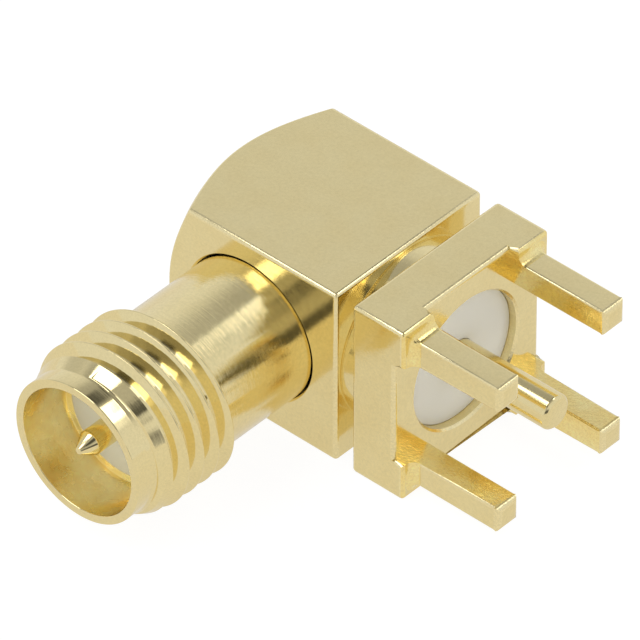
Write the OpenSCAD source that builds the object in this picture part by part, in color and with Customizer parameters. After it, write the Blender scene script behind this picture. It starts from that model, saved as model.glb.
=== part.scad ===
// Right-angle board-mount coaxial jack with a threaded barrel and a pin contact.
// +X runs down the board legs, -Y out of the threaded mouth, +Z across the block.
// The origin is on the board pin's axis, in the plane where the feet meet the board.

/* [Block] */
// Width of the square bar that the block and the foot plate are cut from
bar_w = 7.05; // [6.9:0.05:8]
// Length of the block along the legs' direction
block_l = 7.58; // [7.2:0.02:9]
// Slope of the turned cone at the block's rear end, from its flat
cone_angle = 32; // [20:1:40]
// Diameter of the flat left inside the turned cone
end_flat_d = 6.2; // [5.5:0.05:6.6]
// Edge break on the block and the foot plate
edge_break = 0.15; // [0.05:0.01:0.2]
// Thinnest wall left inside the block between crossing bores
web_t = 0.3; // [0.2:0.05:0.4]

/* [Neck and foot plate] */
// Diameter of the turned neck between the block and the foot plate
neck_d = 6.36; // [5.8:0.02:6.7]
// Length of the neck
neck_l = 0.67; // [0.5:0.01:1.5]
// Thickness of the foot plate, corner pads included
plate_t = 2.21; // [1.6:0.01:2.6]
// Depth of the crossed slots that leave the corner pads
slot_depth = 0.38; // [0.15:0.01:0.5]
// Edge break along the outer edges of the slots' floor
slot_break = 0.15; // [0.05:0.01:0.2]

/* [Legs] */
// Distance between the legs' centres, both ways
leg_pitch = 5.08; // [4.9:0.02:5.2]
// Width of a square leg
leg_w = 1; // [0.8:0.02:1.1]
// Length of a leg below the pads
leg_l = 3.68; // [2.4:0.02:6]
// Fillet between a leg and the ledge of its pad
leg_root_r = 0.27; // [0.1:0.01:0.4]
// Chamfer at a leg's tip
leg_tip_c = 0.14; // [0.05:0.01:0.25]
// Edge break along a leg
leg_break = 0.06; // [0.02:0.01:0.1]

/* [Threaded barrel] */
// Diameter of the plain shank
shank_d = 5.35; // [5:0.05:5.5]
// Length of the barrel that stands out of the block
barrel_l = 8.19; // [7.4:0.01:12]
// Length of the shank pressed into the block
spigot_l = 1.62; // [1.2:0.02:1.7]
// Outer diameter of the thread
thread_d = 6.28; // [6.1:0.01:6.4]
// Length of thread at its full diameter
thread_l = 2.4; // [1.5:0.01:5]
// Length of the lead-in cone between the thread and the nose
lead_l = 0.92; // [0.4:0.01:1.2]
// Diameter of the nose in front of the thread
nose_d = 5.34; // [5.2:0.01:5.6]
// Length of the nose
nose_l = 0.67; // [0.3:0.01:1]
// Diameter of the mouth
mouth_d = 4.7; // [4.5:0.01:4.85]
// Depth of the mouth
mouth_depth = 2; // [1.8:0.01:2.3]
// Countersink round the shank where it enters the block
ring_c = 0.07; // [0.03:0.01:0.12]
// Edge break at the barrel's rim
rim_break = 0.05; // [0.02:0.01:0.1]

/* [Insulators] */
// Diameter of the front insulator behind the mouth
front_ins_d = 4.16; // [3.8:0.02:4.3]
// Diameter of the front insulator's rear flange
flange_d = 4.6; // [4.5:0.02:4.9]
// Length of the front insulator's rear flange
flange_l = 1.2; // [0.6:0.05:1.5]
// Diameter of the board insulator
board_ins_d = 4.98; // [4.4:0.02:5.1]
// Depth of the board insulator's face under the slot floor
board_ins_recess = 0.36; // [0.1:0.02:0.8]
// Front wall of the board insulator, which grips the groove round the board pin
grip_t = 0.46; // [0.3:0.02:0.7]

/* [Contacts] */
// Diameter of the board pin
board_pin_d = 1.27; // [1:0.01:1.35]
// Length of the board pin below the pads
board_pin_l = 3.5; // [2.4:0.05:6]
// Depth of the groove round the board pin, where the insulator's front wall grips it
grip_depth = 0.17; // [0.16:0.01:0.2]
// Diameter of the board pin behind the groove
pin_body_d = 1.6; // [1.6:0.02:2]
// Chamfer at the board pin's tip
pin_tip_c = 0.12; // [0.05:0.01:0.2]
// Length of the board pin past the barrel's axis
pin_head_l = 0.85; // [0.6:0.05:1]
// Diameter of the mating contact inside its insulator
contact_d = 1.27; // [1.24:0.01:1.4]
// Diameter of the mating contact's free end
mating_d = 0.9; // [0.7:0.01:0.94]
// Depth of the mating contact's tip inside the rim
mating_inset = 0.06; // [0:0.01:0.5]
// Length of the cone at the mating contact's tip
tip_cone_l = 0.56; // [0.3:0.01:0.8]
// Diameter of the flat at the mating contact's tip
tip_flat_d = 0.22; // [0.1:0.01:0.4]
// Diameter of the mating contact's tail, soldered into the board pin's slot
tail_d = 0.5; // [0.3:0.02:0.6]
// Length of bare tail between the mating contact's body and the board pin
tail_l = 0.3; // [0.1:0.05:0.8]

/* [Rear cap] */
// Diameter of the pressed cap over the solder hole
cap_d = 4.6; // [4:0.05:5]
// Thickness of the cap
cap_t = 0.7; // [0.4:0.05:0.8]
// Chamfer round the cap's outer face
cap_c = 0.1; // [0.05:0.01:0.15]

/* [Bores] */
// Diameter of the air-filled elbow inside the block
elbow_d = 3.6; // [2.6:0.05:3.7]
// Countersink of the board insulator's bore in the slot floor
bore_c = 0.08; // [0.03:0.01:0.12]
// Room round a pressed or seated piece
fit_gap = 0.01; // [0.005:0.005:0.03]
// Room round the tail in the board pin's slot
solder_gap = 0.03; // [0.02:0.01:0.06]

/* [Hidden] */
$fn = 64;

gold = [0.86, 0.78, 0.56];
ptfe = [0.93, 0.92, 0.88];

// Past a face that a cut or a joined solid has to clear
over = 1;

// Stations along X, from the board seat back to the block's rear end
slot_x = -slot_depth;
plate_x = -plate_t;
neck_x = plate_x - neck_l;
axis_x = neck_x - block_l / 2;
end_x = neck_x - block_l;

// Stations along the barrel, from the board pin's axis out to the rim
face_a = bar_w / 2;
rim_a = face_a + barrel_l;
spigot_a = face_a - spigot_l;
nose_a = rim_a - nose_l;
thread_end_a = nose_a - lead_l;
thread_a = thread_end_a - thread_l;
step_a = rim_a - mouth_depth;
flange_a = spigot_a + flange_l;

// The board insulator fills its bore from the elbow's floor to its recessed face
board_bore_x = axis_x + shank_d / 2 + web_t;
board_face_x = slot_x - board_ins_recess;
board_grip_x = board_face_x - grip_t;

// Legs: inner faces line up with the slots' sides, outer faces leave a ledge
leg_c = leg_pitch / 2;
slot_w = leg_pitch - leg_w;
ledge_w = bar_w / 2 - edge_break - leg_c - leg_w / 2;
root_r = min(leg_root_r, ledge_w);

// The mating contact's body stops short of the board pin
contact_back_a = pin_body_d / 2 + tail_l;
mating_tip_a = rim_a - mating_inset;

// A cylinder or cone along X, from x0 to x1
module x_rod(x0, x1, r0, r1) {
    translate([x0, 0, 0]) rotate([0, 90, 0]) cylinder(h = x1 - x0, r1 = r0, r2 = r1);
}

// A cylinder or cone on the barrel's axis, from station a0 out to a1
module y_rod(a0, a1, r0, r1) {
    translate([axis_x, -a0, 0]) rotate([90, 0, 0]) cylinder(h = a1 - a0, r1 = r0, r2 = r1);
}

// A solid turned about the barrel's axis from [radius, station] points
module turned_on_barrel(outline) {
    translate([axis_x, 0, 0]) rotate([90, 0, 0]) rotate_extrude() polygon(outline);
}

// A solid turned about the board pin's axis from [radius, X] points
module turned_on_pin(outline) {
    rotate([0, 90, 0]) rotate_extrude() polygon(outline);
}

// A rectangle with its corners cut off, from the origin
module broken_rect(w, h, c) {
    polygon([[c, 0], [w - c, 0], [w, c], [w, h - c], [w - c, h], [c, h], [0, h - c], [0, c]]);
}

// A square bar along X, with its long edges and its end edges broken
module broken_bar(x0, x1, w, long_c, end_c) {
    l = x1 - x0;
    intersection() {
        translate([x0, -w / 2, -w / 2])
            rotate([90, 0, 90]) linear_extrude(l) broken_rect(w, w, long_c);
        translate([x0, w / 2, -w / 2])
            rotate([90, 0, 0]) linear_extrude(w) broken_rect(l, w, end_c);
        translate([x0, -w / 2, -w / 2]) linear_extrude(w) broken_rect(l, w, end_c);
    }
}

// The block: square bar, its rear end turned to a cone that the flats cut
module block() {
    reach = bar_w;
    intersection() {
        broken_bar(end_x - over, neck_x, bar_w, edge_break, edge_break);
        turned_on_pin([
            [0, end_x],
            [end_flat_d / 2, end_x],
            [reach, end_x + (reach - end_flat_d / 2) * tan(cone_angle)],
            [reach, neck_x + over],
            [0, neck_x + over]
        ]);
    }
}

// The foot plate, with crossed slots that leave a pad at each corner
module foot_plate() {
    break_side = slot_break * sqrt(2);
    difference() {
        broken_bar(plate_x, 0, bar_w, edge_break, edge_break);
        translate([slot_x, -slot_w / 2, -bar_w]) cube([slot_depth + over, slot_w, 2 * bar_w]);
        translate([slot_x, -bar_w, -slot_w / 2]) cube([slot_depth + over, 2 * bar_w, slot_w]);
        for (turn = [0 : 90 : 270])
            rotate([turn, 0, 0]) translate([slot_x, 0, bar_w / 2])
                rotate([0, 45, 0]) cube([break_side, slot_w, break_side], center = true);
    }
}

// A leg on its pad, filleted to the ledge on its two outer sides
module leg() {
    inner = leg_c - leg_w / 2;
    outer = leg_c + leg_w / 2;
    translate([0, leg_c, leg_c]) broken_bar(slot_x - slot_depth, leg_l, leg_w, leg_break, leg_tip_c);
    difference() {
        translate([slot_x, inner, inner])
            cube([root_r - slot_x, leg_w + root_r, leg_w + root_r]);
        translate([root_r, outer + root_r, 0]) cylinder(h = bar_w, r = root_r);
        translate([root_r, 0, outer + root_r]) rotate([-90, 0, 0]) cylinder(h = bar_w, r = root_r);
    }
}

module body() {
    board_bore_r = board_ins_d / 2 + fit_gap;
    cap_seat_r = cap_d / 2 + fit_gap;
    barrel_seat_r = shank_d / 2 + fit_gap;
    color(gold) difference() {
        union() {
            block();
            x_rod(neck_x - web_t, plate_x + web_t, neck_d / 2, neck_d / 2);
            foot_plate();
            for (side_y = [0, 1], side_z = [0, 1])
                mirror([0, side_y, 0]) mirror([0, 0, side_z]) leg();
        }
        // board insulator's bore, countersunk in the slot floor
        x_rod(board_bore_x, slot_x + over, board_bore_r, board_bore_r);
        x_rod(slot_x - bore_c, slot_x + bore_c, board_bore_r, board_bore_r + 2 * bore_c);
        // elbow: one air bore down from the cap and one in from the barrel
        x_rod(end_x + cap_t - over, board_bore_x + over, elbow_d / 2, elbow_d / 2);
        y_rod(0, spigot_a + over, elbow_d / 2, elbow_d / 2);
        // seat of the rear cap
        x_rod(end_x - over, end_x + cap_t, cap_seat_r, cap_seat_r);
        // seat of the barrel, countersunk at the face
        y_rod(spigot_a, face_a + over, barrel_seat_r, barrel_seat_r);
        y_rod(face_a - ring_c, face_a + ring_c, barrel_seat_r, barrel_seat_r + 2 * ring_c);
    }
}

// The thread is a plain cylinder of its outer diameter
module threaded_barrel() {
    bore_r = front_ins_d / 2 + fit_gap;
    seat_r = flange_d / 2 + fit_gap;
    color(gold) turned_on_barrel([
        [seat_r, spigot_a],
        [shank_d / 2 - rim_break, spigot_a],
        [shank_d / 2, spigot_a + rim_break],
        [shank_d / 2, thread_a],
        [thread_d / 2, thread_a],
        [thread_d / 2, thread_end_a],
        [nose_d / 2, nose_a],
        [nose_d / 2, rim_a - rim_break],
        [nose_d / 2 - rim_break, rim_a],
        [mouth_d / 2 + rim_break, rim_a],
        [mouth_d / 2, rim_a - rim_break],
        [mouth_d / 2, step_a],
        [bore_r, step_a],
        [bore_r, flange_a],
        [seat_r, flange_a]
    ]);
}

// Flanged at the back, so the barrel's step and the block's floor trap it
module front_insulator() {
    hole_r = contact_d / 2 + fit_gap;
    color(ptfe) turned_on_barrel([
        [hole_r, spigot_a],
        [flange_d / 2, spigot_a],
        [flange_d / 2, flange_a],
        [front_ins_d / 2, flange_a],
        [front_ins_d / 2, step_a],
        [hole_r, step_a]
    ]);
}

// Its shoulder ends level with the insulator's face; the tail reaches the board pin
module mating_contact() {
    color(gold) turned_on_barrel([
        [0, -pin_body_d / 2],
        [tail_d / 2, -pin_body_d / 2],
        [tail_d / 2, contact_back_a],
        [contact_d / 2, contact_back_a],
        [contact_d / 2, step_a],
        [mating_d / 2, step_a],
        [mating_d / 2, mating_tip_a - tip_cone_l],
        [tip_flat_d / 2, mating_tip_a],
        [0, mating_tip_a]
    ]);
}

// Moulded round the board pin, so its front wall fills the pin's groove
module board_insulator() {
    body_hole_r = pin_body_d / 2 + fit_gap;
    grip_r = board_pin_d / 2 - grip_depth + fit_gap;
    color(ptfe) turned_on_pin([
        [body_hole_r, board_bore_x],
        [board_ins_d / 2, board_bore_x],
        [board_ins_d / 2, board_face_x],
        [grip_r, board_face_x],
        [grip_r, board_grip_x],
        [body_hole_r, board_grip_x]
    ]);
}

// Slotted at its head, where the mating contact's tail is soldered in
module board_pin() {
    head_x = axis_x - pin_head_l;
    grip_r = board_pin_d / 2 - grip_depth;
    slot_h = tail_d + 2 * solder_gap;
    color(gold) difference() {
        turned_on_pin([
            [0, head_x],
            [pin_body_d / 2, head_x],
            [pin_body_d / 2, board_grip_x],
            [grip_r, board_grip_x],
            [grip_r, board_face_x],
            [board_pin_d / 2, board_face_x],
            [board_pin_d / 2, board_pin_l - pin_tip_c],
            [board_pin_d / 2 - pin_tip_c, board_pin_l],
            [0, board_pin_l]
        ]);
        translate([head_x - over, -pin_body_d, -slot_h / 2])
            cube([axis_x + slot_h / 2 - head_x + over, 2 * pin_body_d, slot_h]);
    }
}

module rear_cap() {
    color(gold) turned_on_pin([
        [0, end_x],
        [cap_d / 2 - cap_c, end_x],
        [cap_d / 2, end_x + cap_c],
        [cap_d / 2, end_x + cap_t],
        [0, end_x + cap_t]
    ]);
}

body();
threaded_barrel();
front_insulator();
mating_contact();
board_insulator();
board_pin();
rear_cap();
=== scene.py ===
import math

import bmesh
import bpy
from mathutils import Matrix, Vector


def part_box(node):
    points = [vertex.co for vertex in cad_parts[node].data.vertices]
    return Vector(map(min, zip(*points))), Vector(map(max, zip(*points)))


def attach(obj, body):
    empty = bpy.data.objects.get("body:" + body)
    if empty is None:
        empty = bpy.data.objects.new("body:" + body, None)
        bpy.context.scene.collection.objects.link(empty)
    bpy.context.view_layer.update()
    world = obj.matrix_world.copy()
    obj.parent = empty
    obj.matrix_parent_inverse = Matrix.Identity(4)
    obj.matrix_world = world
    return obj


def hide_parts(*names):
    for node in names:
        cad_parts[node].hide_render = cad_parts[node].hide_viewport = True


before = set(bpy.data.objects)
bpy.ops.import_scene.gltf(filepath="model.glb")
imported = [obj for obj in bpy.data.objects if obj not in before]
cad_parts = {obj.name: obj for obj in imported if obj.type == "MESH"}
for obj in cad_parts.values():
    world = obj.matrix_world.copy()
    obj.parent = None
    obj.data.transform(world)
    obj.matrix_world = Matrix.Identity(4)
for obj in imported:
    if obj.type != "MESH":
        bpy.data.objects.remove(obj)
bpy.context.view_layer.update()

mm = 0.001
alongX = Vector((1, 0, 0))
alongBarrel = Vector((0, -1, 0))  # out of the mouth


def nodeBox(node):  # a node's corners in millimetres
    low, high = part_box(node)
    return Vector(low) / mm, Vector(high) / mm


bodyLow, bodyHigh = nodeBox("body")
barrelLow, barrelHigh = nodeBox("threaded_barrel")
capLow, capHigh = nodeBox("rear_cap")

barHalf = bodyHigh.z  # half the square bar's width
rearEnd = bodyLow.x
legEnd = bodyHigh.x
barrelX = (barrelLow.x + barrelHigh.x) / 2
rim = -barrelLow.y  # stations along the barrel count from the board pin's axis
mouthFloor = -nodeBox("front_insulator")[0].y
contactTip = -nodeBox("mating_contact")[0].y
boardFace = nodeBox("board_insulator")[1].x
boardPinTip = nodeBox("board_pin")[1].x
floorZ = bodyLow.z * mm

print("frame loaded: bar", round(2 * barHalf, 3), "mm, barrel axis at", round(barrelX, 3))


cameraSet = {
    "target": (-4.375, -2.645, 1.12),  # mm
    "azimuth": 42.06,
    "elevation": 40.7,
    "distance": 356.5,  # mm
    "lens": 621.8,
    "sensor": 36,
}


def addCamera(spec):
    data = bpy.data.cameras.new("camera")
    data.lens = spec["lens"]
    data.sensor_width = spec["sensor"]
    data.clip_start = 0.01
    data.clip_end = 20
    camera = bpy.data.objects.new("camera", data)
    bpy.context.collection.objects.link(camera)
    turn = math.radians(spec["azimuth"])
    lift = math.radians(spec["elevation"])
    back = Vector((math.sin(turn) * math.cos(lift), -math.cos(turn) * math.cos(lift), math.sin(lift)))
    camera.location = (Vector(spec["target"]) + back * spec["distance"]) * mm
    camera.rotation_euler = (-back).to_track_quat("-Z", "Y").to_euler()
    bpy.context.scene.camera = camera


addCamera(cameraSet)
bpy.context.scene.view_settings.view_transform = "Standard"


def newMaterial(name):
    material = bpy.data.materials.new(name)
    material.use_nodes = True
    nodes, links = material.node_tree.nodes, material.node_tree.links
    nodes.clear()
    output = nodes.new("ShaderNodeOutputMaterial")
    shader = nodes.new("ShaderNodeBsdfPrincipled")
    links.new(shader.outputs[0], output.inputs[0])
    return material, nodes, links, shader


def stretched(nodes, links, scale):
    # object coordinates in metres, stretched by a factor along each axis
    place = nodes.new("ShaderNodeTexCoord")
    mapping = nodes.new("ShaderNodeMapping")
    mapping.inputs["Scale"].default_value = scale
    links.new(place.outputs["Object"], mapping.inputs["Vector"])
    return mapping.outputs[0]


def noise(nodes, links, scale, detail=2, roughness=0.5):
    texture = nodes.new("ShaderNodeTexNoise")
    texture.inputs["Scale"].default_value = 1
    texture.inputs["Detail"].default_value = detail
    texture.inputs["Roughness"].default_value = roughness
    links.new(stretched(nodes, links, scale), texture.inputs["Vector"])
    return texture.outputs[0]


def spread(nodes, links, value, low, high, fromLow=0.3, fromHigh=0.7):
    ranged = nodes.new("ShaderNodeMapRange")
    ranged.inputs["From Min"].default_value = fromLow
    ranged.inputs["From Max"].default_value = fromHigh
    ranged.inputs["To Min"].default_value = low
    ranged.inputs["To Max"].default_value = high
    links.new(value, ranged.inputs["Value"])
    return ranged.outputs[0]


def bumped(nodes, links, height, distance, before=None):
    bump = nodes.new("ShaderNodeBump")
    bump.inputs["Strength"].default_value = 1
    bump.inputs["Distance"].default_value = distance
    links.new(height, bump.inputs["Height"])
    if before:
        links.new(before, bump.inputs["Normal"])
    return bump.outputs[0]


cloudScale = (900, 900, 900)  # broad stains and smudges, per metre
smudgeScale = (1600, 1600, 1600)
ptfeCloudScale = (700, 700, 700)

goldTone = (0.90, 0.772, 0.41, 1)
goldDeep = (0.86, 0.70, 0.33, 1)

# lines are the tool marks across each axis; depth and grain are in metres
milledLook = {"roughness": (0.08, 0.15), "lines": (2500, 9000, 9000), "lineDepth": 0.0000006,
              "grain": 9000, "grainDepth": 0.0000009, "mottle": 0.045}
edgeLook = {"roughness": (0.1, 0.25), "lines": (9000, 9000, 9000), "lineDepth": 0.000006,
            "grain": 14000, "grainDepth": 0.000002, "mottle": 0.09}
innerLook = {"roughness": (0.12, 0.22), "lines": (2500, 9000, 9000), "lineDepth": 0.000002,
             "grain": 12000, "grainDepth": 0.000005, "mottle": 0.12}
turnedLook = {"roughness": (0.05, 0.1), "lines": (500, 14000, 500), "lineDepth": 0.0000012,
              "grain": 11000, "grainDepth": 0.0000006, "mottle": 0.05}
boreLook = {"roughness": (0.22, 0.34), "lines": (500, 9000, 500), "lineDepth": 0.0000012,
            "grain": 5000, "grainDepth": 0.0000035, "mottle": 0.05}
shankLook = {"roughness": (0.05, 0.12), "lines": (600, 30000, 600), "lineDepth": 0.000004,
             "grain": 9000, "grainDepth": 0.0000006, "mottle": 0.06}
neckLook = {"roughness": (0.1, 0.16), "lines": (12000, 500, 500), "lineDepth": 0.0000012,
            "grain": 9000, "grainDepth": 0.000001, "mottle": 0.06}
pinLook = {"roughness": (0.13, 0.19), "lines": (14000, 500, 500), "lineDepth": 0.0000008,
           "grain": 11000, "grainDepth": 0.0000006, "mottle": 0.05}


def goldMaterial(name, look, tone=goldTone, deep=goldDeep, stain=0.35):
    material, nodes, links, shader = newMaterial(name)
    shader.inputs["Metallic"].default_value = 1
    cloud = noise(nodes, links, cloudScale, 4)
    grain = [look["grain"]] * 3
    tint = nodes.new("ShaderNodeMix")
    tint.data_type = "RGBA"
    tint.inputs[6].default_value = tone
    tint.inputs[7].default_value = deep
    links.new(spread(nodes, links, cloud, 0, stain), tint.inputs[0])
    mottle = nodes.new("ShaderNodeMix")
    mottle.data_type = "RGBA"
    mottle.blend_type = "MULTIPLY"
    mottle.inputs[0].default_value = 1
    links.new(tint.outputs[2], mottle.inputs[6])
    speckle = noise(nodes, links, grain, 4, 0.7)
    links.new(spread(nodes, links, speckle, 1 - look["mottle"], 1 + look["mottle"]), mottle.inputs[7])
    links.new(mottle.outputs[2], shader.inputs["Base Color"])
    smudge = noise(nodes, links, smudgeScale, 3)
    links.new(spread(nodes, links, smudge, *look["roughness"]), shader.inputs["Roughness"])
    fine = bumped(nodes, links, noise(nodes, links, grain, 2), look["grainDepth"])
    marks = bumped(nodes, links, noise(nodes, links, look["lines"], 3, 0.6), look["lineDepth"], fine)
    links.new(marks, shader.inputs["Normal"])
    return material


ptfeLook = {"color": (0.99, 0.985, 0.885, 1), "shade": (0.95, 0.935, 0.83, 1), "roughness": 0.45,
            "rings": 9000, "ringDepth": 0.000002}
# the mouth's PTFE is tinted yellow: painted reflection of the gold walls around it
goldBouncePtfeLook = {"color": (1, 0.985, 0.82, 1), "shade": (0.98, 0.95, 0.76, 1), "roughness": 0.4,
                 "rings": 9000, "ringDepth": 0.000002}


def ptfeMaterial(name, look):
    material, nodes, links, shader = newMaterial(name)
    cloud = noise(nodes, links, ptfeCloudScale, 3)
    tint = nodes.new("ShaderNodeMix")
    tint.data_type = "RGBA"
    tint.inputs[6].default_value = look["color"]
    tint.inputs[7].default_value = look["shade"]
    links.new(spread(nodes, links, cloud, 0, 0.5), tint.inputs[0])
    links.new(tint.outputs[2], shader.inputs["Base Color"])
    shader.inputs["Roughness"].default_value = look["roughness"]
    shader.inputs["Subsurface Weight"].default_value = 0.2
    shader.inputs["Subsurface Radius"].default_value = (1, 1, 0.9)
    shader.inputs["Subsurface Scale"].default_value = 0.0004
    links.new(bumped(nodes, links, noise(nodes, links, [look["rings"]] * 3, 2), look["ringDepth"]),
              shader.inputs["Normal"])
    return material


milledGold = goldMaterial("milledGold", milledLook)
# paler gold for the narrow edge faces: a painted edge highlight; its roughness and bumps are real
paleEdgeHighlightGold = goldMaterial("paleEdgeHighlightGold", edgeLook, (0.94, 0.815, 0.46, 1), (0.88, 0.73, 0.35, 1))
# deeper orange gold: painted reflection of gold in gold on faces that look at other gold
paintedBounceGold = goldMaterial("paintedBounceGold", innerLook, (1, 0.85, 0.4, 1), (0.98, 0.72, 0.24, 1), 0.9)
turnedGold = goldMaterial("turnedGold", turnedLook)
neckGold = goldMaterial("neckGold", neckLook)
pinGold = goldMaterial("pinGold", pinLook)
# lighter, yellower gold for the mouth wall: painted light inside the bore; its rougher finish is real
paintedLightBoreGold = goldMaterial("paintedLightBoreGold", boreLook, (1, 0.92, 0.54, 1), (1, 0.76, 0.3, 1), 0.8)
shankGold = goldMaterial("shankGold", shankLook)
ptfe = ptfeMaterial("ptfe", ptfeLook)
goldBouncePtfe = ptfeMaterial("goldBouncePtfe", goldBouncePtfeLook)


smoothAngle = 30  # degrees; a steeper edge is shaded sharp
turnSteps = 128
flatNormal = 0.995  # above this, a face lies square to an axis
edgeFaceArea = 0.9  # mm2; a slanted face under it is an edge
edgeWeight = 50
broadWeight = 90  # keeps the broad faces flat beside narrow ones


def finished(name, mesh, material, slot, nodes, scale=mm):
    # turns a bmesh in millimetres into a smooth object in the frame
    bmesh.ops.transform(mesh, matrix=Matrix.Scale(scale, 4), verts=mesh.verts)
    data = bpy.data.meshes.new(name)
    mesh.to_mesh(data)
    mesh.free()
    for face in data.polygons:
        face.use_smooth = True
    data.set_sharp_from_angle(angle=math.radians(smoothAngle))
    data.materials.append(material)
    piece = bpy.data.objects.new(name, data)
    bpy.context.collection.objects.link(piece)
    if slot:
        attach(piece, "root")
        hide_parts(*nodes)
    return piece


def weighted(piece, weight=edgeWeight):
    modifier = piece.modifiers.new("weightedNormal", "WEIGHTED_NORMAL")
    modifier.keep_sharp = True
    modifier.weight = weight
    return piece


def paintEdgeHighlights(piece):
    # the narrow faces along the edges of milled flats get a paler gold, a painted edge highlight, with a
    # rougher, bumpier finish
    piece.data.materials.append(paleEdgeHighlightGold)
    for face in piece.data.polygons:
        if max(abs(part) for part in face.normal) < flatNormal and face.area < edgeFaceArea:
            face.material_index = 1


def cut(piece, name, mesh):
    # takes a bmesh in millimetres away from a piece that isn't scaled yet
    tool = finished(name, mesh, piece.data.materials[0], None, [], scale=1)
    modifier = piece.modifiers.new("cut", "BOOLEAN")
    modifier.operation = "DIFFERENCE"
    modifier.solver = "EXACT"
    modifier.object = tool
    graph = bpy.context.evaluated_depsgraph_get()
    shaped = bpy.data.meshes.new_from_object(piece.evaluated_get(graph))
    piece.modifiers.clear()
    old = piece.data
    piece.data = shaped
    bpy.data.meshes.remove(old)
    bpy.data.objects.remove(tool)
    shaped.set_sharp_from_angle(angle=math.radians(smoothAngle))


def softened(points, radius, steps=4, only=None):
    # rounds the corners of an outline of (radius, station) points
    result = [points[0]]
    for i in range(1, len(points) - 1):
        corner = Vector(points[i])
        before = Vector(points[i - 1]) - corner
        after = Vector(points[i + 1]) - corner
        if only is not None and i not in only:
            result.append(points[i])
            continue
        reach = min(radius, before.length * 0.45, after.length * 0.45)
        start = corner + before.normalized() * reach
        end = corner + after.normalized() * reach
        for k in range(steps + 1):
            t = k / steps
            result.append(tuple(start * (1 - t) ** 2 + corner * 2 * t * (1 - t) + end * t * t))
    result.append(points[-1])
    return result


def turnedMesh(outline, axis, origin, steps, closed=False):
    # spins (radius, station) points about an axis; a radius of 0 lies on it
    mesh = bmesh.new()
    side = Vector((0, 0, 1))
    verts = [mesh.verts.new(Vector(origin) + side * r + axis * s) for r, s in outline]
    for a, b in zip(verts, verts[1:]):
        mesh.edges.new((a, b))
    if closed:
        mesh.edges.new((verts[-1], verts[0]))
    bmesh.ops.spin(mesh, geom=mesh.verts[:] + mesh.edges[:], cent=origin, axis=axis,
                   angle=2 * math.pi, steps=steps, use_merge=True)
    bmesh.ops.remove_doubles(mesh, verts=mesh.verts, dist=1e-5)
    bmesh.ops.recalc_face_normals(mesh, faces=mesh.faces)
    return mesh


def edgesWhere(mesh, test):
    return [edge for edge in mesh.edges if len(edge.link_faces) == 2 and test(edge)]


def bevelled(mesh, edges, width, segments=3):
    bmesh.ops.bevel(mesh, geom=edges, offset=width, offset_type="OFFSET", segments=segments,
                    profile=0.5, affect="EDGES", clamp_overlap=False, material=-1)


barrelOrigin = Vector((barrelX, 0, 0))


blockSpec = {
    "neckFace": -2.88,
    "coneFlat": 3.1,  # radius of the flat inside the turned cone
    "coneAngle": 32,
    "coneCuts": 96,
    "edge": 0.15,
    "arcEdge": 0.045,
    "barrelHole": 2.715,
    "barrelHoleDepth": 1,
    "barrelRing": 0.06,
    "capHole": 2.31,
    "capHoleDepth": 0.5,
}


def makeBlock(spec):
    mesh = bmesh.new()
    bmesh.ops.create_cube(mesh, size=1)
    length = spec["neckFace"] - rearEnd
    bmesh.ops.scale(mesh, vec=(length, 2 * barHalf, 2 * barHalf), verts=mesh.verts)
    bmesh.ops.translate(mesh, vec=(rearEnd + length / 2, 0, 0), verts=mesh.verts)
    rear = [edge for edge in mesh.edges if all(vert.co.x < rearEnd + 1e-3 for vert in edge.verts)]
    bevelled(mesh, [edge for edge in mesh.edges if edge not in rear], spec["edge"], 4)
    slope = math.radians(spec["coneAngle"])
    for i in range(spec["coneCuts"]):  # each cut is tangent to the turned cone
        turn = 2 * math.pi * i / spec["coneCuts"]
        out = Vector((0, math.cos(turn), math.sin(turn)))
        cutAt = Vector((rearEnd, 0, 0)) + out * spec["coneFlat"]
        normal = Vector((-math.cos(slope), 0, 0)) + out * math.sin(slope)
        bmesh.ops.bisect_plane(mesh, geom=mesh.verts[:] + mesh.edges[:] + mesh.faces[:], dist=1e-5,
                               plane_co=cutAt, plane_no=normal, clear_outer=True)
        rimEdges = [edge for edge in mesh.edges if len(edge.link_faces) == 1]
        bmesh.ops.contextual_create(mesh, geom=rimEdges)
    bmesh.ops.recalc_face_normals(mesh, faces=mesh.faces)
    arcs = edgesWhere(mesh, lambda edge: edge.calc_face_angle() > math.radians(38))
    bevelled(mesh, arcs, spec["arcEdge"], 3)
    block = finished("block", mesh, milledGold, "gold_plate", ["body"], scale=1)
    radius, depth, ring = spec["barrelHole"], spec["barrelHoleDepth"], spec["barrelRing"]
    hole = [(0, barHalf - depth), (radius, barHalf - depth), (radius, barHalf - ring),
            (radius + 2 * ring, barHalf + ring), (0, barHalf + ring)]
    cut(block, "hole", turnedMesh(hole, alongBarrel, barrelOrigin, turnSteps))
    radius, depth = spec["capHole"], spec["capHoleDepth"]
    seat = [(0, rearEnd - 1), (radius, rearEnd - 1), (radius, rearEnd + depth), (0, rearEnd + depth)]
    cut(block, "seat", turnedMesh(seat, alongX, Vector(), turnSteps))
    paintEdgeHighlights(block)
    block.data.transform(Matrix.Scale(mm, 4))
    return weighted(block)


makeBlock(blockSpec)
print("block done")


neckSpec = {
    "radius": 3.3,
    "wall": 0.4,
    "root": -2.88,
    "rootLap": 0.02,
    "plate": -2.21,
    "plateLap": 0.01,
    "groove": 0.03,
    "fillet": 0.06,
    "soft": 0.02,
    "steps": 160,
}


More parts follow.
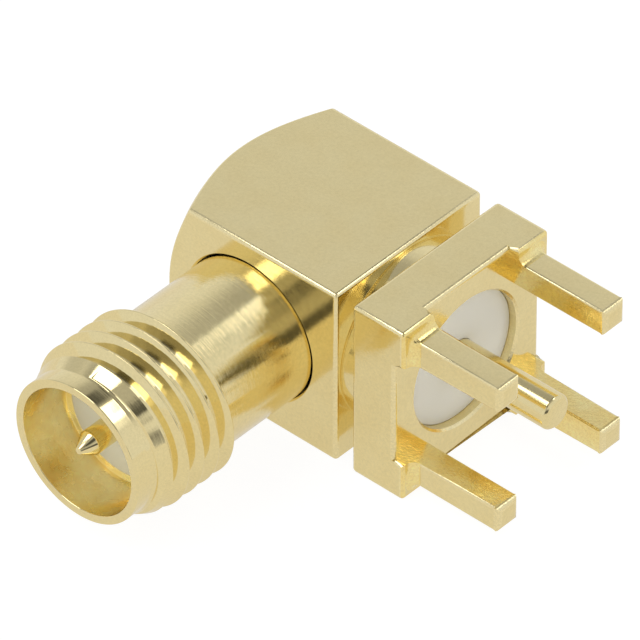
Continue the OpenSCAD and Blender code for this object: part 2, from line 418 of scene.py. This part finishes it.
def makeNeck(spec):
    r, g, fillet = spec["radius"], spec["groove"], spec["fillet"]
    start, end = spec["root"] - spec["rootLap"], spec["plate"] + spec["plateLap"]
    outline = [(r - spec["wall"], start), (r - g, start), (r - g, spec["root"] + 0.5 * g),
               (r, spec["root"] + 1.5 * g), (r, spec["plate"] - fillet), (r + fillet, end),
               (r - spec["wall"], end)]
    mesh = turnedMesh(softened(outline, spec["soft"]), alongX, Vector(), spec["steps"])
    return weighted(finished("neck", mesh, neckGold, "gold_plate", ["body"]), broadWeight)


makeNeck(neckSpec)


footSpec = {
    "back": -2.21,
    "slotFloor": -0.38,
    "legInner": 2.04,
    "legOuter": 3.04,
    "edge": 0.15,
    "floorEdge": 0.15,
    "legEdge": 0.1,
    "tip": 0.2,
    "rootFillet": 0.32,
    "boreRadius": 2.5,
    "boreEdge": 0.08,
    "boreDepth": 1.2,
}


def slotEdgeMesh(spec):
    # what a quarter round leaves outside it, along the outer edge of each slot's floor
    mesh = bmesh.new()
    r, floor, half = spec["floorEdge"], spec["slotFloor"], spec["legInner"]
    section = [(barHalf - r + r * math.sin(t), floor - r + r * math.cos(t))
               for t in (math.radians(15 * k) for k in range(7))]
    section += [(barHalf + 0.1, floor - r), (barHalf + 0.1, floor + 0.1), (barHalf - r, floor + 0.1)]
    for quarter in range(4):
        turn = Matrix.Rotation(math.radians(90 * quarter), 4, "X")
        face = mesh.faces.new([mesh.verts.new(turn @ Vector((x, out, -half))) for out, x in section])
        swept = bmesh.ops.extrude_face_region(mesh, geom=[face])
        verts = [item for item in swept["geom"] if isinstance(item, bmesh.types.BMVert)]
        bmesh.ops.translate(mesh, vec=turn @ Vector((0, 0, 2 * half)), verts=verts)
    bmesh.ops.recalc_face_normals(mesh, faces=mesh.faces)
    return mesh


def makeFoot(spec):
    mesh = bmesh.new()
    bmesh.ops.create_cube(mesh, size=1)
    depth = spec["slotFloor"] - spec["back"]
    bmesh.ops.scale(mesh, vec=(depth, 2 * barHalf, 2 * barHalf), verts=mesh.verts)
    bmesh.ops.translate(mesh, vec=(spec["back"] + depth / 2, 0, 0), verts=mesh.verts)
    for normal in ((0, 1, 0), (0, 0, 1)):
        for place in (-spec["legOuter"], -spec["legInner"], spec["legInner"], spec["legOuter"]):
            bmesh.ops.bisect_plane(mesh, geom=mesh.verts[:] + mesh.edges[:] + mesh.faces[:],
                                   plane_co=Vector(normal) * place, plane_no=normal, dist=1e-5)

    def topFaces(level, low, high):
        picked = []
        for face in mesh.faces:
            c = face.calc_center_median()
            if abs(c.x - level) < 1e-4 and low < abs(c.y) < high and low < abs(c.z) < high:
                picked.append(face)
        return picked

    def raised(faces, height):
        result = bmesh.ops.extrude_face_region(mesh, geom=faces)
        verts = [item for item in result["geom"] if isinstance(item, bmesh.types.BMVert)]
        bmesh.ops.translate(mesh, vec=(height, 0, 0), verts=verts)
        bmesh.ops.delete(mesh, geom=faces, context="FACES_ONLY")

    raised(topFaces(spec["slotFloor"], spec["legInner"], barHalf), -spec["slotFloor"])
    raised(topFaces(0, spec["legInner"], spec["legOuter"]), legEnd)
    bmesh.ops.recalc_face_normals(mesh, faces=mesh.faces)
    bmesh.ops.dissolve_limit(mesh, angle_limit=math.radians(1), verts=mesh.verts, edges=mesh.edges)

    def middle(edge):
        return (edge.verts[0].co + edge.verts[1].co) / 2

    def convexAngle(edge):
        return edge.calc_face_angle_signed()

    def onLeg(edge):
        return middle(edge).x > 0.2

    square = math.radians(60)
    bevelled(mesh, edgesWhere(mesh, lambda e: onLeg(e) and middle(e).x > legEnd - 0.01), spec["tip"], 4)
    bevelled(mesh, edgesWhere(mesh, lambda e: onLeg(e) and convexAngle(e) > square
                              and abs(e.verts[0].co.x - e.verts[1].co.x) > 1), spec["legEdge"], 3)
    bevelled(mesh, edgesWhere(mesh, lambda e: abs(middle(e).x) < 1e-3 and convexAngle(e) < -square / 4),
             spec["rootFillet"], 4)
    bevelled(mesh, edgesWhere(mesh, lambda e: convexAngle(e) > square and middle(e).x < 1e-3
                              and max(abs(middle(e).y), abs(middle(e).z)) > barHalf - 1e-3
                              and abs(middle(e).x - spec["slotFloor"]) > 1e-3), spec["edge"], 4)
    foot = finished("footPlate", mesh, milledGold, "gold_plate", ["body"], scale=1)
    r, floor, c = spec["boreRadius"], spec["slotFloor"], spec["boreEdge"]
    depth = spec["boreDepth"]
    bore = [(0, floor - depth), (r, floor - depth), (r, floor - c), (r + 2 * c, floor + c), (0, floor + c)]
    cut(foot, "bore", turnedMesh(bore, alongX, Vector(), turnSteps))
    cut(foot, "slotEdges", slotEdgeMesh(spec))
    paintEdgeHighlights(foot)
    # the pin-facing sides of pads and legs and the root fillets get the deeper orange gold, a painted
    # reflection
    foot.data.materials.append(paintedBounceGold)
    for face in foot.data.polygons:  # the sides of the pads and legs that face the pin
        inward = -face.normal.y * face.center.y - face.normal.z * face.center.z
        atRoot = -0.1 < face.center.x < spec["rootFillet"] and 0.05 < abs(face.normal.x) < flatNormal
        if atRoot or (face.center.x > spec["slotFloor"] + 0.02 and abs(face.normal.x) < 0.3 and inward > 1):
            face.material_index = 2
    foot.data.transform(Matrix.Scale(mm, 4))
    return weighted(foot)


makeFoot(footSpec)
print("foot plate done")


barrelSpec = {
    "shank": 2.675,
    "shankDepth": 0.8,  # inside the block
    "crest": 3.14,
    "nose": 2.67,
    "noseLength": 0.67,
    "leadLength": 0.92,
    "threadLength": 2.57,
    "mouth": 2.35,
    "bore": 2.09,
    "boreStraight": 1.5,
    "boreLength": 1.6,
    "boreStep": 0.1,
    "rimEdge": 0.05,
    "pitch": 0.7056,
    "threadDepth": 0.433,
    "flankAngle": 30,
    "rootFlat": 0.075,  # half the groove's flat bottom
    "crestRound": 0.02,
    "crestAt": 0.32,  # where a crest passes the barrel's top, from the shoulder
    "shoulderChamfer": 0.05,
    "grooveReach": 0.4,  # how far the cut runs out past the crests
    "grooveTurns": 6,
    "grooveSteps": 96,  # in each turn
    "steps": 192,
    "sharpAngle": 28,
}


def grooveSection(spec):
    crest, soft = spec["crest"], spec["crestRound"]
    flank = spec["rootFlat"] + (spec["threadDepth"] - soft) * math.tan(math.radians(spec["flankAngle"]))
    half = [(crest - spec["threadDepth"], spec["rootFlat"]), (crest - soft, flank),
            (crest - 0.3 * soft, flank + 0.6 * soft), (crest + 0.2 * soft, flank + 1.6 * soft),
            (crest + spec["grooveReach"], flank + 1.6 * soft)]
    return [(r, -a) for r, a in half] + half[::-1]


def makeBarrel(spec):
    noseAt = rim - spec["noseLength"]
    crestEnd = noseAt - spec["leadLength"]
    shoulder = crestEnd - spec["threadLength"]
    crest, chamfer, bore = spec["crest"], spec["shoulderChamfer"], spec["bore"]
    shankStart = barHalf - spec["shankDepth"]
    outline = [(bore, shankStart), (spec["shank"], shankStart), (spec["shank"], shoulder),
               (crest - chamfer, shoulder), (crest, shoulder + chamfer), (crest, crestEnd),
               (spec["nose"], noseAt), (spec["nose"], rim), (spec["mouth"], rim),
               (spec["mouth"], mouthFloor), (bore, mouthFloor),
               (bore, mouthFloor - spec["boreStraight"]),
               (bore - spec["boreStep"], mouthFloor - spec["boreLength"])]
    outline = softened(outline, spec["rimEdge"], 4, only=range(2, 11))
    blank = finished("threadedBarrel", turnedMesh(outline, alongBarrel, barrelOrigin, spec["steps"], True),
                     turnedGold, "gold_plate", ["threaded_barrel"], scale=1)
    groove = bmesh.new()
    pitch, turns, steps = spec["pitch"], spec["grooveTurns"], spec["grooveSteps"]
    start = shoulder + spec["crestAt"] - 1.5 * pitch
    verts = [groove.verts.new(barrelOrigin + Vector((0, 0, r)) + alongBarrel * (start + a))
             for r, a in grooveSection(spec)]
    groove.faces.new(verts)
    bmesh.ops.spin(groove, geom=groove.verts[:] + groove.edges[:] + groove.faces[:], cent=barrelOrigin,
                   axis=alongBarrel, dvec=alongBarrel * pitch / steps, angle=2 * math.pi * turns,
                   steps=steps * turns)
    bmesh.ops.recalc_face_normals(groove, faces=groove.faces)
    cut(blank, "groove", groove)
    blank.data.materials.append(paintedLightBoreGold)
    blank.data.materials.append(shankGold)
    for face in blank.data.polygons:
        out = math.hypot(face.center.x - barrelX, face.center.z)
        # faces inside the mouth take the lighter bore gold, which is painted light
        if out < spec["mouth"] + 0.01 and -face.center.y < rim - 0.03:
            face.material_index = 1
        elif -face.center.y < shoulder - 0.01:
            face.material_index = 2
    blank.data.transform(Matrix.Scale(mm, 4))
    blank.data.set_sharp_from_angle(angle=math.radians(spec["sharpAngle"]))
    return weighted(blank, broadWeight)


makeBarrel(barrelSpec)
print("barrel done")


def makeTurned(name, outline, axis, origin, material, slot, node, soft=0.02):
    mesh = turnedMesh(softened(outline, soft, 3), axis, origin, turnSteps)
    return finished(name, mesh, material, slot, [node])


def ringOutline(spec, face):
    back = face - spec["depth"]
    return [(spec["hole"], back), (spec["radius"], back), (spec["radius"], face), (spec["hole"], face)]


matingSpec = {"radius": 0.45, "body": 0.635, "depth": 1, "coneLength": 0.56, "tipRadius": 0.11}
contactStart = mouthFloor - matingSpec["depth"]
makeTurned("matingContact",
           [(0, contactStart), (matingSpec["body"], contactStart), (matingSpec["body"], mouthFloor),
            (matingSpec["radius"], mouthFloor), (matingSpec["radius"], contactTip - matingSpec["coneLength"]),
            (matingSpec["tipRadius"], contactTip), (0, contactTip)],
           alongBarrel, barrelOrigin, turnedGold, "contact_gold", "mating_contact", soft=0.04)

frontInsulatorSpec = {"radius": 2.08, "hole": 0.645, "depth": 1.2}
# the front insulator's yellow tint is painted gold reflection
makeTurned("frontInsulator", ringOutline(frontInsulatorSpec, mouthFloor),
           alongBarrel, barrelOrigin, goldBouncePtfe, "insulator", "front_insulator")

pinSpec = {"radius": 0.635, "depth": 0.4, "tipChamfer": 0.12}
pinStart = boardFace - pinSpec["depth"]
makeTurned("boardPin",
           [(0, pinStart), (pinSpec["radius"], pinStart),
            (pinSpec["radius"], boardPinTip - pinSpec["tipChamfer"]),
            (pinSpec["radius"] - pinSpec["tipChamfer"], boardPinTip), (0, boardPinTip)],
           alongX, Vector(), pinGold, "contact_gold", "board_pin", soft=0.05)

boardInsulatorSpec = {"radius": 2.49, "hole": 0.645, "depth": 0.7}
makeTurned("boardInsulator", ringOutline(boardInsulatorSpec, boardFace),
           alongX, Vector(), ptfe, "insulator", "board_insulator")

capSpec = {"radius": capHigh.z, "chamfer": 0.1}
makeTurned("rearCap",
           [(0, capLow.x), (capSpec["radius"] - capSpec["chamfer"], capLow.x),
            (capSpec["radius"], capLow.x + capSpec["chamfer"]), (capSpec["radius"], capHigh.x),
            (0, capHigh.x)],
           alongX, Vector(), pinGold, "gold_plate", "rear_cap", soft=0.03)
print("turned pieces done")


paperLook = {"paper": 0.94, "glow": 0.82, "white": 1.12, "bounce": (0.8, 0.77, 0.73, 1)}
tentLevel = 0.8


def addFloor(look):
    data = bpy.data.meshes.new("floor")
    mesh = bmesh.new()
    bmesh.ops.create_grid(mesh, x_segments=1, y_segments=1, size=3)
    bmesh.ops.translate(mesh, vec=(0, 0, floorZ), verts=mesh.verts)
    mesh.to_mesh(data)
    mesh.free()
    floor = bpy.data.objects.new("floor", data)
    bpy.context.collection.objects.link(floor)
    material = bpy.data.materials.new("floorPaper")
    material.use_nodes = True
    nodes, links = material.node_tree.nodes, material.node_tree.links
    nodes.clear()
    output = nodes.new("ShaderNodeOutputMaterial")
    paper = nodes.new("ShaderNodeBsdfDiffuse")
    paper.inputs["Color"].default_value = (look["paper"], look["paper"], look["paper"], 1)
    glow = nodes.new("ShaderNodeEmission")
    light = nodes.new("ShaderNodeLightPath")
    level = nodes.new("ShaderNodeMix")  # white to the camera, warm paper to the metal
    level.data_type = "RGBA"
    level.inputs[6].default_value = look["bounce"]
    level.inputs[7].default_value = (look["white"], look["white"], look["white"], 1)
    links.new(light.outputs["Is Camera Ray"], level.inputs[0])
    links.new(level.outputs[2], glow.inputs["Color"])
    both = nodes.new("ShaderNodeMixShader")
    both.inputs[0].default_value = look["glow"]
    links.new(paper.outputs[0], both.inputs[1])
    links.new(glow.outputs[0], both.inputs[2])
    links.new(both.outputs[0], output.inputs[0])
    data.materials.append(material)


# brightness of the tent against the height of the direction, from the horizon up
tentSteps = [(0, tentLevel), (0.45, tentLevel), (0.65, 0.68), (0.8, 0.42), (0.89, 0.4), (0.94, 0.34),
             (1, 0.3)]

# azimuth, elevation, half width and half height in degrees, soft edge in degrees, brightness
tentLights = {
    "leftShade": (174, 28, 20, 14, 8, 0.58),
    "frontTop": (-56, 66, 14, 8, 4, 0.5),
    "topGap": (106, 66, 9.5, 6.5, 3.5, 0.1),
    "topSoftbox": (-136, 65.3, 16.5, 7.5, 1, 3),
    "backGlow": (38, 45, 7, 5, 4, 1.1),
    "backSoftbox": (52.5, 56.7, 12, 6.5, 1.5, 2.7),
    "backSoftboxTop": (64.5, 52.6, 7, 5, 2, 1.5),
    "frontSoftbox": (-108, 54.5, 12.5, 5.5, 2, 3),
    "frontGrey": (-40, 30, 12, 10, 3, 0.45),
    "cameraShade": (-41, 45.5, 11, 8, 2.5, 0.09),
    "lowGap": (-33, 5, 16, 12, 6, 0.1),
}


def addWorld(lights):
    world = bpy.data.worlds.new("tent")
    bpy.context.scene.world = world
    world.use_nodes = True
    nodes, links = world.node_tree.nodes, world.node_tree.links
    nodes.clear()

    def vectorMath(operation, a, b=None):
        node = nodes.new("ShaderNodeVectorMath")
        node.operation = operation
        links.new(a, node.inputs[0])
        if b is not None:
            node.inputs[1].default_value = b
        return node

    def mathNode(operation, a, b=None):
        node = nodes.new("ShaderNodeMath")
        node.operation = operation
        for i, value in enumerate((a, b)):
            if value is None:
                continue
            if isinstance(value, (int, float)):
                node.inputs[i].default_value = value
            else:
                links.new(value, node.inputs[i])
        return node.outputs[0]

    place = nodes.new("ShaderNodeTexCoord")
    way = vectorMath("NORMALIZE", place.outputs["Generated"]).outputs[0]
    height = vectorMath("DOT_PRODUCT", way, (0, 0, 1)).outputs["Value"]
    steps = nodes.new("ShaderNodeFloatCurve")
    curve = steps.mapping.curves[0]
    while len(curve.points) < len(tentSteps):
        curve.points.new(0.5, 0.5)
    for point, (at, value) in zip(curve.points, tentSteps):
        point.location = (at, value)
        point.handle_type = "AUTO_CLAMPED"
    steps.mapping.update()
    links.new(height, steps.inputs["Value"])
    level = steps.outputs[0]
    for azimuth, elevation, width, tall, edge, bright in lights.values():
        turn, lift = math.radians(azimuth), math.radians(elevation)
        ahead = Vector((math.cos(turn) * math.cos(lift), math.sin(turn) * math.cos(lift), math.sin(lift)))
        across = Vector((-math.sin(turn), math.cos(turn), 0))
        if abs(ahead.x) < 0.7:  # overhead, a light lies along X
            across = (alongX - ahead * ahead.x).normalized()
        up = ahead.cross(across)
        facing = vectorMath("DOT_PRODUCT", way, ahead).outputs["Value"]
        inside = mathNode("GREATER_THAN", facing, 0.1)
        for side, half in ((across, width), (up, tall)):
            offset = vectorMath("DOT_PRODUCT", way, side).outputs["Value"]
            offset = mathNode("ABSOLUTE", mathNode("DIVIDE", offset, facing))
            soft = nodes.new("ShaderNodeMapRange")
            soft.interpolation_type = "SMOOTHSTEP"
            soft.inputs["From Min"].default_value = math.tan(math.radians(half + edge))
            soft.inputs["From Max"].default_value = math.tan(math.radians(half - edge))
            links.new(offset, soft.inputs["Value"])
            inside = mathNode("MULTIPLY", inside, soft.outputs[0])
        mix = nodes.new("ShaderNodeMix")
        mix.inputs[3].default_value = bright
        links.new(inside, mix.inputs[0])
        links.new(level, mix.inputs[2])
        level = mix.outputs[0]
    output = nodes.new("ShaderNodeOutputWorld")
    tent = nodes.new("ShaderNodeBackground")
    links.new(level, tent.inputs["Strength"])
    white = nodes.new("ShaderNodeBackground")
    light = nodes.new("ShaderNodeLightPath")
    mix = nodes.new("ShaderNodeMixShader")
    tent.inputs["Color"].default_value = (0.985, 0.995, 1.05, 1)
    white.inputs["Color"].default_value = (1, 1, 1, 1)
    links.new(light.outputs["Is Camera Ray"], mix.inputs[0])
    links.new(tent.outputs[0], mix.inputs[1])
    links.new(white.outputs[0], mix.inputs[2])
    links.new(mix.outputs[0], output.inputs[0])


addFloor(paperLook)
addWorld(tentLights)
print("stage done")
